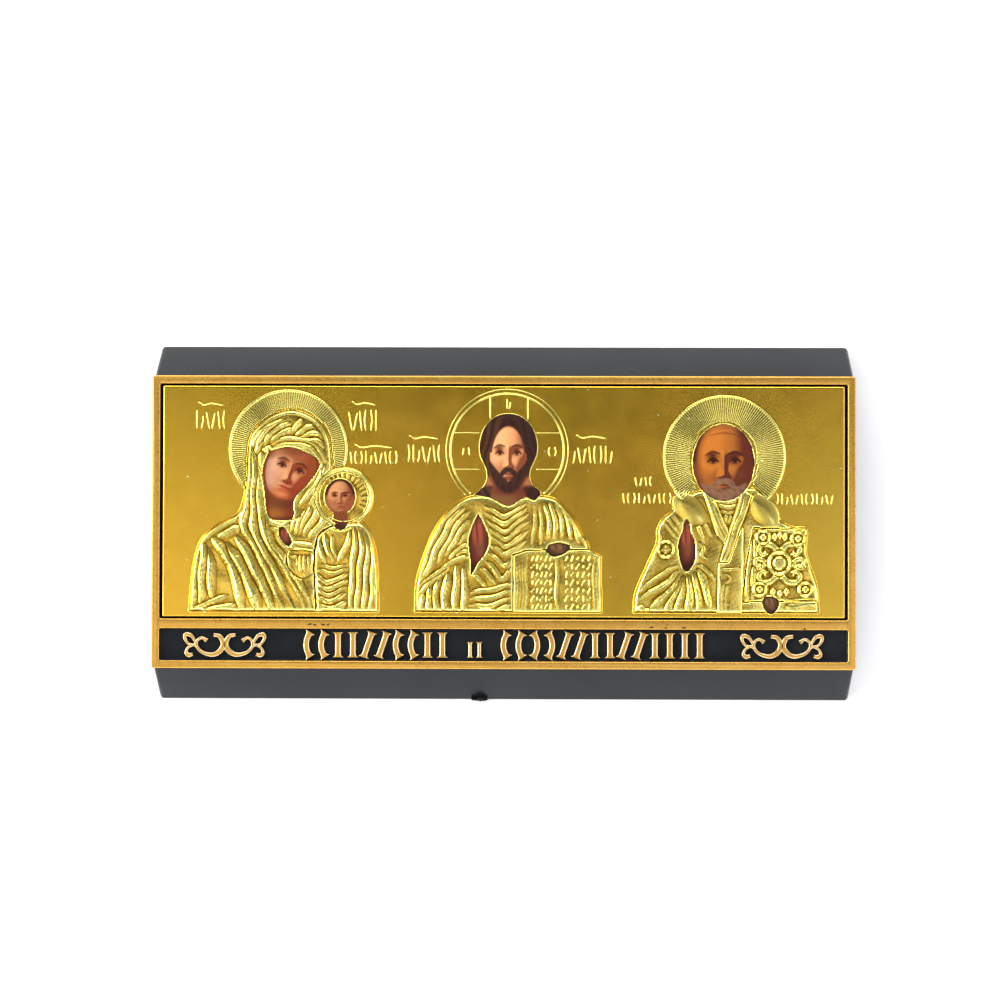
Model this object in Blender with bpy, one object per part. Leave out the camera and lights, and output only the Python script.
"""A triptych icon for a dashboard: a moulded case lying on its back, and the embossed plate in its face.

The origin is the middle of the back. +X runs along the width, +Y up the face, +Z out of the face.
"""

import math
from collections import namedtuple

import bmesh
import bpy
import numpy as np
from mathutils import Vector
from mathutils.geometry import delaunay_2d_cdt

MM = 0.001

# Case sizes, in millimetres
FACE_WIDTH = 85.0
SIDE_RIM = 1.0
TOP_RIM = 1.0
BOTTOM_RIM = 0.95
POCKET_HEIGHT = 28.6
BAR_HEIGHT = 1.2
STRIP_HEIGHT = 3.85
CASE_DEPTH = 8.2
SLAB_DEPTH = 2.1
FLARE = 4.15
POCKET_DEPTH = 1.0
STRIP_DEPTH = 0.5
CORNER_RADIUS = 0.45
POCKET_CORNER = 0.3
EDGE_ROUND = 0.22

# Raised strokes and scrolls on the strip
STROKE_HEIGHT = 3.0
STROKE_WIDTH = 0.78
FIRST_ROW_X = -15.4
LINK_X = -3.4
SECOND_ROW_X = 12.0
PLACE_PITCH = 3.6
LINK_SCALE = 0.62
SCROLL_X = 33.6
SCROLL_WIDTH = 0.5

# Broken moulding gate on the lower back edge
GATE_X = -2.95
GATE_SIZE = (1.1, 0.4, 0.45)

# Plate sizes
PLATE_GAP = 0.32
GLUE_GAP = 0.3
PLATE_SINK = 0.2
PLATE_MARGIN = 0.35

# Figures, drawn on a board in millimetres: y is 0 in the middle of the face, and the feet are at FOOT
FIGURE_HEIGHT = 27.0
DRAWN_HEIGHT = 27.0
FOOT = -10.9
FOOT_ABOVE_PLATE_EDGE = 0.6
MOTHER_X = -26.0
MIDDLE_X = 0.0
BISHOP_X = 26.0
HALO_RISE = 0.14
BODY_RISE = 0.45
FACE_RISE = 0.22
FOLD_RISE = 0.26

# Fineness of the relief
CURVE_STEPS = 3
HALO_SIDES = 40
FOLD_END = 8
SHARPEST = 0.4
WELD = 0.02
TINY = 1e-12

POCKET_WIDTH = FACE_WIDTH - 2 * SIDE_RIM
FACE_HEIGHT = BOTTOM_RIM + STRIP_HEIGHT + BAR_HEIGHT + POCKET_HEIGHT + TOP_RIM
STRIP_LOW = BOTTOM_RIM - FACE_HEIGHT / 2
STRIP_MIDDLE = STRIP_LOW + STRIP_HEIGHT / 2
POCKET_LOW = STRIP_LOW + STRIP_HEIGHT + BAR_HEIGHT
POCKET_MIDDLE = POCKET_LOW + POCKET_HEIGHT / 2
PLATE_WIDTH = POCKET_WIDTH - 2 * PLATE_GAP
PLATE_HEIGHT = POCKET_HEIGHT - 2 * PLATE_GAP
PLATE_BACK = CASE_DEPTH - POCKET_DEPTH + GLUE_GAP
PLATE_FLAT = CASE_DEPTH - PLATE_SINK
FOOT_Y = POCKET_LOW + PLATE_GAP + FOOT_ABOVE_PLATE_EDGE
FIGURE_SCALE = FIGURE_HEIGHT / DRAWN_HEIGHT


def material(name, colour, roughness, metallic):
    made = bpy.data.materials.new(name)
    made.use_nodes = True
    shader = made.node_tree.nodes["Principled BSDF"]
    shader.inputs["Base Color"].default_value = (*colour, 1.0)
    shader.inputs["Roughness"].default_value = roughness
    shader.inputs["Metallic"].default_value = metallic
    made.diffuse_color = (*colour, 1.0)
    return made


def add_object(name, mesh_builder, finish):
    """Turns a filled bmesh into an object with one material."""
    bmesh.ops.recalc_face_normals(mesh_builder, faces=mesh_builder.faces)
    mesh = bpy.data.meshes.new(name)
    mesh_builder.to_mesh(mesh)
    mesh_builder.free()
    mesh.materials.append(finish)
    made = bpy.data.objects.new(name, mesh)
    bpy.context.scene.collection.objects.link(made)
    return made


def add_cutter(name, mesh_builder, finish):
    made = add_object(name, mesh_builder, finish)
    made.hide_render = True
    made.display_type = "WIRE"
    return made


# Plan curves and the forms that follow them

def smooth_curve(points):
    """A curve through the given points, in even pieces between neighbours."""
    points = np.array(points, float)
    whole = np.vstack([2 * points[0] - points[1], points, 2 * points[-1] - points[-2]])
    share = np.linspace(0, 1, CURVE_STEPS, endpoint=False)[:, None]
    pieces = []
    for before, start, end, after in zip(whole, whole[1:], whole[2:], whole[3:]):
        bend = 2 * before - 5 * start + 4 * end - after
        twist = 3 * start - before - 3 * end + after
        pieces.append(start + ((end - before) * share + bend * share**2 + twist * share**3) / 2)
    return np.vstack([*pieces, points[-1:]])


def oval(centre, half_width, half_height, lean=0.0, count=28):
    """A closed oval; lean turns its top to the right, in degrees."""
    angle = np.linspace(0, 2 * math.pi, count, endpoint=False)
    across, up = half_width * np.cos(angle), half_height * np.sin(angle)
    turn = math.radians(lean)
    x = centre[0] + across * math.cos(turn) + up * math.sin(turn)
    y = centre[1] - across * math.sin(turn) + up * math.cos(turn)
    return np.column_stack([x, y])


def sideways(path):
    """Unit vectors to the left of a path."""
    along = np.gradient(path, axis=0)
    return np.column_stack([-along[:, 1], along[:, 0]]) / np.hypot(*along.T)[:, None]


def rounded_loop(builder, middle, width, height, radius, z, corner_steps=4):
    """The vertices of a rounded rectangle, counter-clockwise, in metres."""
    loop = []
    for corner, (side_x, side_y) in enumerate(((1, 1), (-1, 1), (-1, -1), (1, -1))):
        centre_x = middle[0] + side_x * (width / 2 - radius)
        centre_y = middle[1] + side_y * (height / 2 - radius)
        for step in range(corner_steps + 1):
            angle = math.pi / 2 * (corner + step / corner_steps)
            x = centre_x + radius * math.cos(angle)
            y = centre_y + radius * math.sin(angle)
            loop.append(builder.verts.new((x * MM, y * MM, z * MM)))
    return loop


def skin(builder, loops):
    """Joins loops of equal length into a closed body with flat ends."""
    for lower, upper in zip(loops, loops[1:]):
        for here, low in enumerate(lower):
            after = (here + 1) % len(lower)
            builder.faces.new((low, lower[after], upper[after], upper[here]))
    builder.faces.new(reversed(loops[0]))
    builder.faces.new(loops[-1])


def band(builder, path, half_widths, low, high):
    """A flat-topped raised stroke that follows a path."""
    offset = sideways(path) * np.asarray(half_widths)[:, None]
    sections = []
    for left, right in zip(path + offset, path - offset):
        places = ((left, low), (right, low), (right, high), (left, high))
        sections.append([builder.verts.new((x * MM, y * MM, z * MM)) for (x, y), z in places])
    for near, far in zip(sections, sections[1:]):
        for here in range(4):
            after = (here + 1) % 4
            builder.faces.new((near[here], near[after], far[after], far[here]))
    builder.faces.new(reversed(sections[0]))
    builder.faces.new(sections[-1])


# Case

def case_body():
    builder = bmesh.new()
    back_height = FACE_HEIGHT + 2 * FLARE
    levels = ((0.0, back_height), (CASE_DEPTH - SLAB_DEPTH, FACE_HEIGHT), (CASE_DEPTH, FACE_HEIGHT))
    skin(builder, [
        rounded_loop(builder, (0, 0), FACE_WIDTH, height, CORNER_RADIUS, z) for z, height in levels
    ])
    return builder


def recess(middle_y, width, height, depth):
    """The tool that sinks a flat-floored recess into the face."""
    builder = bmesh.new()
    skin(builder, [
        rounded_loop(builder, (0, middle_y), width, height, POCKET_CORNER, z)
        for z in (CASE_DEPTH - depth, CASE_DEPTH + depth)
    ])
    return builder


def flared(path, width):
    """Half widths of a stroke that swells towards both ends."""
    share = np.linspace(-1, 1, len(path))
    return width / 2 * (0.85 + 0.6 * share**4)


def stroke_pair(kind, scale):
    """Two like strokes side by side, in plan, round the middle of their place."""
    half = STROKE_HEIGHT / 2 * scale
    lean, bow = {"upright": (0, 0), "leaning": (0.5, 0), "bowed": (0, 0.5), "bowed_back": (0, -0.5)}[kind]
    for side in (-1, 1):
        middle = side * PLACE_PITCH / 4 * scale
        heights = np.linspace(-half, half, 6)
        share = heights / half
        x = middle + scale * (lean * share + bow * (share**2 - 0.5))
        yield np.column_stack([x, heights])


def stroke_row(builder, middle_x, kinds, scale, low):
    for place, kind in enumerate(kinds):
        x = middle_x + (place - (len(kinds) - 1) / 2) * PLACE_PITCH * scale
        for path in stroke_pair(kind, scale):
            foot = (STROKE_HEIGHT - STROKE_HEIGHT * scale) / 2
            placed = path + np.array([x, STRIP_MIDDLE - foot])
            band(builder, placed, flared(path, STROKE_WIDTH * scale), low, CASE_DEPTH)


def scroll(builder, middle_x, low):
    """Two hooked C scrolls back to back, each with a leaf loop and a curled tail."""
    main = ((1.25, 1.2), (0.5, 0.85), (0.25, 0.0), (0.6, -0.85), (1.5, -1.2), (2.7, -0.85),
            (3.4, -0.15), (3.3, 0.5), (2.75, 0.8), (2.15, 0.45))
    leaf = ((3.4, 0.0), (3.75, 0.65), (4.15, 1.1), (4.75, 1.1), (4.8, 0.65), (4.3, 0.05), (3.4, -0.1))
    tail = ((4.0, 0.0), (4.5, -0.5), (4.6, -1.1), (4.0, -1.3))
    for side in (-1, 1):
        for points, share in ((main, 1.0), (leaf, 0.75), (tail, 0.8)):
            path = smooth_curve(points)[::2]
            placed = path * np.array([side, 1]) + np.array([middle_x, STRIP_MIDDLE])
            band(builder, placed, np.full(len(path), SCROLL_WIDTH * share / 2), low, CASE_DEPTH)


def strip_strokes():
    """Rows of plain strokes and two scrolls, which stand level with the rim."""
    builder = bmesh.new()
    low = CASE_DEPTH - STRIP_DEPTH - GLUE_GAP
    first_row = ("bowed", "upright", "leaning", "bowed", "upright")
    second_row = ("bowed", "bowed_back", "leaning", "upright", "leaning", "upright", "upright")
    stroke_row(builder, FIRST_ROW_X, first_row, 1.0, low)
    stroke_row(builder, LINK_X, ("upright",), LINK_SCALE, low)
    stroke_row(builder, SECOND_ROW_X, second_row, 1.0, low)
    for side in (-1, 1):
        scroll(builder, side * SCROLL_X, low)
    return builder


def gate_mark():
    """The lump that is left where the moulding was broken off its runner."""
    builder = bmesh.new()
    bmesh.ops.create_icosphere(builder, subdivisions=1, radius=1)
    edge_y = -(FACE_HEIGHT / 2 + FLARE)
    for vert in builder.verts:
        x, y, z = (part * size for part, size in zip(vert.co, GATE_SIZE))
        lopsided = 1 + 0.35 * math.sin(2.2 * x)
        vert.co = ((GATE_X + x) * MM, (edge_y + GATE_SIZE[1] / 2 + y * lopsided) * MM, (GATE_SIZE[2] + z) * MM)
    return builder


def make_case():
    plastic = material("black_plastic", (0.045, 0.047, 0.046), 0.45, 0.0)
    case = add_object("case", case_body(), plastic)
    rounding = case.modifiers.new("rounded edges", "BEVEL")
    rounding.width = EDGE_ROUND * MM
    rounding.segments = 2
    rounding.limit_method = "ANGLE"
    rounding.angle_limit = math.radians(30)
    shapes = (
        ("pocket_tool", recess(POCKET_MIDDLE, POCKET_WIDTH, POCKET_HEIGHT, POCKET_DEPTH), "DIFFERENCE"),
        ("strip_tool", recess(STRIP_MIDDLE, POCKET_WIDTH, STRIP_HEIGHT, STRIP_DEPTH), "DIFFERENCE"),
        ("strokes_tool", strip_strokes(), "UNION"),
        ("gate_tool", gate_mark(), "UNION"),
    )
    for name, builder, operation in shapes:
        step = case.modifiers.new(name, "BOOLEAN")
        step.operation = operation
        step.solver = "EXACT"
        step.use_self = operation == "UNION"
        step.object = add_cutter(name, builder, plastic)
    return case


# Relief of the plate

Form = namedtuple("Form", "outline foot top edge cloth")
Fold = namedtuple("Fold", "crest valleys reach rise")
Line = namedtuple("Line", "path width rise")


def form(outline, foot, top, edge, cloth=()):
    """A shape laid over what is there: foot high at its outline, and top high within edge of it."""
    return Form(np.array(outline, float), foot, top, edge, list(cloth))


def folds(first, last, count, rise=1.0):
    """A family of folds between two guide curves that have as many points each."""
    first, last = smooth_curve(first), smooth_curve(last)
    apart = (last - first) / (count - 1)
    reach = np.hypot(*apart.T) / 2
    for fold in range(count):
        crest = first + apart * fold
        yield Fold(crest, (crest - apart / 2, crest + apart / 2), reach, rise)


def crease(points, width, rise):
    """A single fold."""
    crest = smooth_curve(points)
    side = sideways(crest) * width / 2
    return Fold(crest, (crest - side, crest + side), np.full(len(crest), width / 2), rise)


def closed_up(outline):
    return np.vstack([outline, outline[:1]])


def inset(outline, distance):
    """A closed outline moved inwards by the same distance all round, with mitred corners."""
    run = np.roll(outline, -1, axis=0) - outline
    run /= np.hypot(*run.T)[:, None]
    before = np.roll(run, 1, axis=0)
    after = np.roll(outline, -1, axis=0)
    turn = np.sign(np.sum(outline[:, 0] * after[:, 1] - after[:, 0] * outline[:, 1]))
    across = turn * np.column_stack([-(run + before)[:, 1], (run + before)[:, 0]])
    return outline + across * distance / np.maximum(1 + np.sum(run * before, axis=1), SHARPEST)[:, None]


def distance_to(path, x, y):
    """How far each point is from a path, and how far along it the nearest place lies, from 0 to 1."""
    nearest = np.full(x.shape, np.inf)
    along = np.zeros(x.shape)
    for index, (start, end) in enumerate(zip(path, path[1:])):
        run = end - start
        share = ((x - start[0]) * run[0] + (y - start[1]) * run[1]) / max(run @ run, TINY)
        share = np.clip(share, 0, 1)
        distance = np.hypot(x - start[0] - share * run[0], y - start[1] - share * run[1])
        closer = distance < nearest
        nearest[closer] = distance[closer]
        along[closer] = (index + share[closer]) / (len(path) - 1)
    return nearest, along


def holds(outline, x, y):
    """Which points lie inside a closed outline."""
    inside = np.zeros(x.shape, bool)
    for (x0, y0), (x1, y1) in zip(outline, np.roll(outline, -1, axis=0)):
        if y0 == y1:
            continue
        crossing = x0 + (y - y0) * (x1 - x0) / (y1 - y0)
        inside ^= ((y0 > y) != (y1 > y)) & (x < crossing)
    return inside


def pieces(path):
    """The straight pieces of a path, as pairs of ends."""
    return np.stack([path[:-1], path[1:]], axis=1)


def ends_inside(outline, lines):
    """How many ends of each piece lie inside an outline."""
    inside = holds(outline, lines[..., 0].ravel(), lines[..., 1].ravel())
    return inside.reshape(-1, 2).sum(axis=1)


def mesh_lines(forms):
    """The lines that the mesh has to follow: outlines, shoulders, and the crests and valleys of folds."""
    lines = np.empty((0, 2, 2))
    for shape in forms:
        if isinstance(shape, Line):
            side = sideways(shape.path) * shape.width / 2
            added = [pieces(path) for path in (shape.path, shape.path + side, shape.path - side)]
            lines = np.concatenate([lines, *added])
            continue
        lines = lines[ends_inside(shape.outline, lines) == 0]
        around = closed_up(shape.outline)
        shoulder = pieces(closed_up(inset(shape.outline, shape.edge)))
        paths = [path for fold in shape.cloth for path in (fold.crest, *fold.valleys)]
        inner = np.concatenate([shoulder, *(pieces(path) for path in paths)])
        inner = inner[ends_inside(shape.outline, inner) == 2]
        lines = np.concatenate([lines, pieces(around), inner])
    return lines


def heights(forms, x, y):
    """Height of the forms over the plate's flat at the given points."""
    height = np.zeros_like(x)
    for shape in forms:
        if isinstance(shape, Line):
            gap, _ = distance_to(shape.path, x, y)
            height += shape.rise * np.clip(1 - (gap / (shape.width / 2)) ** 2, 0, 1)
            continue
        spot = holds(shape.outline, x, y)
        across, up = x[spot], y[spot]
        distance, _ = distance_to(closed_up(shape.outline), across, up)
        shoulder = np.sin(np.clip(distance / shape.edge, 0, 1) * math.pi / 2)
        cloth = np.zeros_like(across)
        for fold in shape.cloth:
            gap, along = distance_to(fold.crest, across, up)
            reach = np.interp(along, np.linspace(0, 1, len(fold.crest)), fold.reach)
            fade = np.clip(np.minimum(along, 1 - along) * FOLD_END, 0, 1)
            cloth = np.maximum(cloth, FOLD_RISE * fold.rise * fade * np.clip(1 - (gap / reach) ** 2, 0, 1))
        height[spot] = shape.foot + (shape.top - shape.foot + cloth) * shoulder
    return height


# Figures, each a list of forms from the lowest to the highest

def mother_and_child():
    """A veiled mother who leans towards the child on her arm, to the right."""
    child_halo = (6.75, 3.0)
    halo = closed_up(oval((0.0, 8.8), 7.05, 7.05, count=HALO_SIDES))
    veil = smooth_curve((
        (-12.0, FOOT), (-11.3, -3.6), (-10.0, -1.2), (-8.2, 0.1), (-6.3, 0.9), (-5.4, 2.6), (-5.3, 8.0),
        (-4.7, 10.9), (-2.6, 12.9), (0.4, 13.7), (3.4, 12.7), (5.0, 10.6), (5.6, 8.0), (5.4, 2.0),
        (8.6, 0.2), (9.9, -1.2), (10.6, -3.2), (11.0, FOOT),
    ))
    veil_cloth = [
        *folds(((-4.9, 8.5), (-4.9, 4.5), (-5.2, 1.5), (-3.3, -4.0), (0.0, FOOT)),
               ((-3.5, 7.6), (-3.5, 4.0), (-2.8, 0.2), (-0.5, -4.6), (4.0, FOOT)), 4),
        *folds(((-9.6, -1.6), (-8.6, -5.0), (-6.6, -8.4), (-5.0, FOOT)),
               ((-6.0, 0.6), (-4.6, -3.6), (-2.6, -7.6), (-0.8, FOOT)), 5),
        *folds(((-10.9, -3.4), (-11.2, -6.5), (-11.2, -9.4)), ((-10.2, -2.6), (-9.2, -6.0), (-8.0, -8.4)), 3),
        *folds(((-11.6, -10.0), (-9.3, -9.4), (-6.6, -9.0)), ((-11.0, -10.7), (-8.6, -10.4), (-5.6, -10.2)), 2, 0.7),
        *folds(((-3.2, 8.9), (-1.6, 10.0), (0.8, 10.2), (3.4, 8.8), (4.4, 6.6)),
               ((-4.0, 10.0), (-2.4, 11.7), (0.8, 12.2), (3.9, 10.8), (5.0, 8.0)), 3, 0.8),
        *folds(((4.4, 5.4), (3.4, 4.0), (1.6, 2.4), (1.2, 1.0)), ((4.9, 4.0), (4.0, 2.4), (2.6, 0.8), (1.9, -1.6)), 3, 0.7),
    ]
    hand = smooth_curve(((0.2, -3.2), (3.2, -3.6), (3.3, -6.2), (1.6, -7.0), (0.1, -5.4), (0.2, -3.2)))[:-1]
    fingers = folds(((0.8, -3.9), (1.1, -5.2), (1.3, -6.3)), ((2.6, -4.0), (2.7, -5.2), (2.5, -6.2)), 3, 0.6)
    robe = smooth_curve((
        (3.4, FOOT), (3.1, -6.0), (3.4, -2.4), (4.4, -0.9), (5.6, -0.3), (7.4, -0.1), (8.8, -0.2),
        (10.1, -1.8), (10.8, -4.6), (11.0, FOOT),
    ))
    robe_cloth = [
        *folds(((7.9, -1.0), (8.2, -4.0), (7.8, -8.0), (7.9, FOOT)),
               ((9.3, -1.2), (10.2, -4.0), (10.4, -8.0), (10.4, FOOT)), 4),
        *folds(((4.0, -1.8), (4.6, -3.4), (5.4, -4.9)), ((4.9, -1.4), (5.3, -2.9), (5.9, -4.4)), 2, 0.8),
        *folds(((3.6, -5.6), (5.4, -5.9), (7.2, -5.3)), ((3.7, -9.6), (5.4, -9.5), (7.1, -8.5)), 4, 0.8),
        crease(((7.3, -1.4), (6.9, -3.2), (6.3, -4.8)), 0.8, 0.8),
    ]
    return [
        Line(halo, 0.6, HALO_RISE),
        form(veil, 0, BODY_RISE, 0.6, veil_cloth),
        form(hand, 0.35, BODY_RISE, 0.3, fingers),
        form(oval(child_halo, 3.55, 3.55), 0.05, 0.25, 0.25),
        form(oval(child_halo, 2.9, 2.9), 0.12, 0.12, 0.2),
        form(robe, 0.2, BODY_RISE, 0.5, robe_cloth),
        form(oval((-0.9, 1.7), 1.55, 1.9, count=16), FACE_RISE, FACE_RISE, 0.2),
        form(oval((0.3, 5.8), 2.9, 3.9, 20), FACE_RISE, FACE_RISE, 0.2),
        form(oval((6.35, 0.1), 0.95, 1.2, count=12), FACE_RISE, FACE_RISE, 0.2),
        form(oval((6.3, 3.1), 1.75, 2.0, count=20), FACE_RISE, FACE_RISE, 0.2),
    ]


def blessing_figure():
    """A long-haired figure that raises one hand and holds an open book."""
    centre = (0.45, 8.7)
    rings = [closed_up(oval(centre, radius, radius, count=HALO_SIDES)) for radius in (7.4, 6.85)]
    hair = smooth_curve((
        (-3.5, 3.2), (-2.1, 4.8), (-2.6, 7.6), (-2.8, 9.6), (-2.2, 11.6), (-0.9, 12.8), (0.6, 13.1),
        (2.1, 12.8), (3.4, 11.6), (4.0, 9.6), (3.8, 7.6), (3.3, 4.8), (4.6, 3.4), (3.4, 2.6),
        (0.6, 1.9), (-1.6, 3.0), (-3.5, 3.2),
    ))[:-1]
    robe = smooth_curve((
        (-10.6, FOOT), (-10.4, -8.0), (-9.7, -5.0), (-8.2, -1.2), (-6.2, 1.6), (-4.6, 3.0), (-2.6, 3.6),
        (0.6, 3.2), (3.6, 3.4), (5.6, 3.1), (6.9, 2.6), (8.6, 0.8), (9.8, -1.5), (10.4, -4.0), (10.6, FOOT),
    ))
    robe_cloth = [
        *folds(((-1.6, 2.0), (0.4, 0.9), (3.0, 2.2)), ((-2.0, -4.8), (0.3, -6.6), (2.4, -4.0)), 7),
        *folds(((-5.4, 2.0), (-8.1, -1.5), (-9.8, -6.2)), ((-4.0, 2.0), (-5.2, -0.5), (-6.3, -4.2)), 5),
        *folds(((-9.7, -7.0), (-9.8, -8.8), (-9.8, FOOT)), ((-4.8, -5.2), (-4.9, -8.0), (-4.9, FOOT)), 6),
        *folds(((3.9, 2.2), (4.4, 0.2), (4.7, -2.2)), ((6.4, 2.4), (8.2, 0.4), (9.2, -2.2)), 5),
        *folds(((-3.8, -7.7), (-1.6, -7.9), (0.6, -7.1)), ((-3.8, -10.3), (-1.4, -10.3), (0.6, -9.7)), 4, 0.7),
    ]
    book = ((1.1, -3.9), (3.0, -3.2), (6.4, -3.1), (10.6, -3.1), (11.8, -3.6), (11.9, FOOT), (1.1, FOOT))
    pages = [
        crease(((2.2, -3.9), (2.2, -7.5), (2.2, FOOT)), 1.4, 0.6),
        crease(((6.6, -3.6), (6.6, -7.0), (6.6, FOOT)), 1.0, 0.6),
        crease(((11.2, -4.0), (11.2, -7.0), (11.2, FOOT)), 0.8, 0.6),
    ]
    rays = [Line(np.array(ends), 0.5, HALO_RISE) for ends in (
        ((-1.6, 12.9), (-1.6, 14.0), (-1.6, 15.1)), ((2.95, 12.9), (2.95, 14.0), (2.95, 15.0)))]
    return [
        *(Line(ring, 0.4, HALO_RISE) for ring in rings),
        *rays,
        form(robe, 0, BODY_RISE, 0.6, robe_cloth),
        form(hair, 0.1, FACE_RISE, 0.25),
        form(book, 0.1, BODY_RISE, 0.35, pages),
        form(oval((-2.8, -2.2), 1.25, 3.7, -8, count=16), FACE_RISE, FACE_RISE + 0.1, 0.3),
        form(oval((6.7, -3.1), 1.5, 0.85, -10, count=14), FACE_RISE, FACE_RISE + 0.1, 0.3),
    ]


def bishop():
    """A robed figure with crossed bands, who raises one hand and holds a closed book."""
    halo = closed_up(oval((0.65, 8.0), 7.35, 7.35, count=HALO_SIDES))
    robe = smooth_curve((
        (-10.2, FOOT), (-9.9, -8.6), (-8.6, -5.0), (-7.4, -1.6), (-6.7, 0.4), (-5.4, 2.1), (-3.8, 3.1),
        (-1.6, 3.9), (0.6, 3.6), (3.6, 3.9), (5.6, 2.8), (7.2, 1.0), (8.2, -0.4), (10.4, -0.8), (10.9, -3.6),
        (11.9, -7.0), (12.2, FOOT),
    ))
    robe_cloth = [
        *folds(((-4.8, -5.4), (-7.0, -6.6), (-9.4, -8.8)), ((-2.4, -5.4), (-1.0, -7.2), (-0.6, FOOT)), 6),
        crease(((-6.6, 0.4), (-6.0, -0.8), (-5.2, -2.2)), 0.9, 0.8),
        crease(((-1.9, 0.8), (-1.4, -1.6), (-1.7, -4.2)), 0.9, 0.7),
    ]
    panel = ((0.0, -0.6), (3.9, -0.6), (3.8, FOOT), (-0.2, FOOT))
    panel_cloth = [
        crease(((0.5, -6.2), (0.5, -8.4), (0.5, FOOT)), 0.8, 0.5),
        crease(((0.3, -5.5), (1.8, -5.4), (3.2, -5.3)), 0.7, 0.6),
    ]
    bands = (
        ((-1.9, 4.1), (-0.6, 4.3), (2.2, 0.2), (1.2, -1.2)),
        ((2.7, 3.3), (4.1, 3.9), (1.5, -3.6), (0.3, -5.0), (0.0, -4.6)),
    )
    book = ((3.5, -0.3), (10.6, -0.7), (11.4, -8.9), (3.3, -8.9))
    bosses = (
        ((7.3, -4.6), 1.5), ((5.1, -1.6), 0.85), ((9.8, -1.8), 0.85), ((5.0, -7.7), 0.85), ((10.3, -7.8), 0.85),
        ((-6.2, -2.9), 1.1),
    )
    return [
        Line(halo, 0.6, HALO_RISE),
        form(robe, 0, BODY_RISE, 0.6, robe_cloth),
        *(form(oval((x, 1.5), half_width, 1.9, count=16), 0.3, BODY_RISE + 0.25, 1.3)
          for x, half_width in ((-3.4, 2.5), (5.3, 2.3))),
        form(panel, 0.3, BODY_RISE + 0.1, 0.3, panel_cloth),
        *(form(outline, 0.35, BODY_RISE + 0.15, 0.4) for outline in bands),
        form(book, 0.2, BODY_RISE + 0.05, 0.4),
        *(form(oval(place, radius, radius, count=12), 0.4, BODY_RISE + 0.25, 0.45) for place, radius in bosses),
        form(oval((0.6, 7.5), 3.7, 4.5), 0.1, FACE_RISE, 0.25),
        form(oval((-3.7, -2.6), 1.1, 3.0, -2, count=16), FACE_RISE, FACE_RISE + 0.1, 0.3),
        form(oval((6.3, -9.8), 1.0, 1.15, count=12), FACE_RISE, FACE_RISE + 0.1, 0.3),
    ]


# Plate

def plate_border(inset):
    """The straight pieces round the plate, or round a smaller rectangle inside its edge."""
    half_x, half_y = PLATE_WIDTH / 2 - inset, PLATE_HEIGHT / 2 - inset
    corners = np.array(((-half_x, -half_y), (half_x, -half_y), (half_x, half_y), (-half_x, half_y)))
    return pieces(closed_up(corners + np.array([0, POCKET_MIDDLE])))


def relief_mesh():
    """Triangles over the plate whose edges follow every line of the relief, and the height at each corner."""
    figures = ((MOTHER_X, mother_and_child()), (MIDDLE_X, blessing_figure()), (BISHOP_X, bishop()))
    lines = [plate_border(0.0)]
    for middle_x, forms in figures:
        lines.append((mesh_lines(forms) - np.array([0, FOOT])) * FIGURE_SCALE + np.array([middle_x, FOOT_Y]))
    ends = np.concatenate(lines).reshape(-1, 2)
    inset_x = PLATE_WIDTH / 2 - np.abs(ends[:, 0])
    inset_y = PLATE_HEIGHT / 2 - np.abs(ends[:, 1] - POCKET_MIDDLE)
    pairs = np.arange(len(ends)).reshape(-1, 2)
    inner = (np.minimum(inset_x, inset_y) > PLATE_MARGIN)[pairs].all(axis=1)
    inner[:len(lines[0])] = True
    corners, _, triangles, *_ = delaunay_2d_cdt(
        [Vector(end) for end in ends], pairs[inner].tolist(), [], 0, WELD)
    places = np.array([tuple(corner) for corner in corners])
    height = np.zeros(len(places))
    for middle_x, forms in figures:
        drawn = (places - np.array([middle_x, FOOT_Y])) / FIGURE_SCALE + np.array([0, FOOT])
        height = np.maximum(height, heights(forms, drawn[:, 0], drawn[:, 1]))
    return places, height, triangles


def make_plate():
    """A closed sheet: the relief in front, straight sides and a flat back."""
    places, height, triangles = relief_mesh()
    builder = bmesh.new()
    inset_x = PLATE_WIDTH / 2 - np.abs(places[:, 0])
    inset_y = PLATE_HEIGHT / 2 - np.abs(places[:, 1] - POCKET_MIDDLE)
    height = np.where(np.minimum(inset_x, inset_y) < WELD, 0, height)
    corners = [
        builder.verts.new((x * MM, y * MM, (PLATE_FLAT + up) * MM)) for (x, y), up in zip(places, height)
    ]
    for triangle in triangles:
        builder.faces.new([corners[index] for index in triangle])
    for corner in [corner for corner in builder.verts if not corner.link_faces]:
        builder.verts.remove(corner)
    border = [edge for edge in builder.edges if edge.is_boundary]
    for item in bmesh.ops.extrude_edge_only(builder, edges=border)["geom"]:
        if isinstance(item, bmesh.types.BMVert):
            item.co.z = PLATE_BACK * MM
    bmesh.ops.contextual_create(builder, geom=[edge for edge in builder.edges if edge.is_boundary])
    return add_object("icon_plate", builder, material("gold_sheet", (0.55, 0.38, 0.08), 0.3, 1.0))


def main():
    for leftover in list(bpy.data.objects):
        bpy.data.objects.remove(leftover)
    make_case()
    make_plate()


main()
